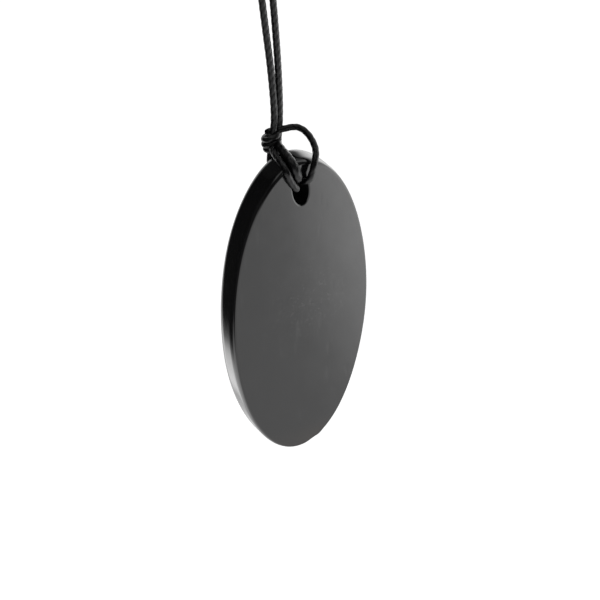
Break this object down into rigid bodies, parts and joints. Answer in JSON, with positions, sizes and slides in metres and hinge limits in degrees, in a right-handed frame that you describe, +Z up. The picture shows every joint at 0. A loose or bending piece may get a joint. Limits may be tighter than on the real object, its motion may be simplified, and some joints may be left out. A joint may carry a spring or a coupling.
{
  "type": "pendant",
  "caption": "Flat oval polished stone pendant with an eye near its top, hitched onto a doubled waxed cord that hangs from a loop.",
  "frame": {"origin": "top of the cord's hanging loop, where a hook or a peg holds it", "axes": "+Z up along the hanging cord, +X to the right across the stone's width, +Y towards the back of the stone; the stone's front face looks towards -Y"},
  "size_m": [0.0232, 0.0131, 0.0953],
  "materials": {
    "stone": "polished near-black stone with a satin sheen and faint pale flecks",
    "cord": "black waxed twisted cotton cord with a soft waxy shine"
  },
  "bodies": {
    "root": {"hang_loop": "cord"},
    "knot": {"end_knot": "cord"},
    "cord": {"strand_left": "cord", "strand_right": "cord", "hitch_knot": "cord"},
    "stone": {"pendant_stone": "stone", "turn_left": "cord", "turn_right": "cord", "slack_turn": "cord"}
  },
  "joints": [
    {"name": "twist", "type": "hinge", "parent": "root", "child": "knot", "pos_m": [0, 0, -0.01], "axis": [0, 0, 1], "range_deg": [-180, 180], "stiffness_Nm_per_rad": 0.00002},
    {"name": "swing", "type": "hinge", "parent": "knot", "child": "cord", "pos_m": [0, 0, -0.01], "axis": [0, 1, 0], "range_deg": [-35, 35]},
    {"name": "nod", "type": "hinge", "parent": "cord", "child": "stone", "pos_m": [-0.001, 0, -0.044], "axis": [1, 0, 0], "range_deg": [-20, 20]}
  ]
}
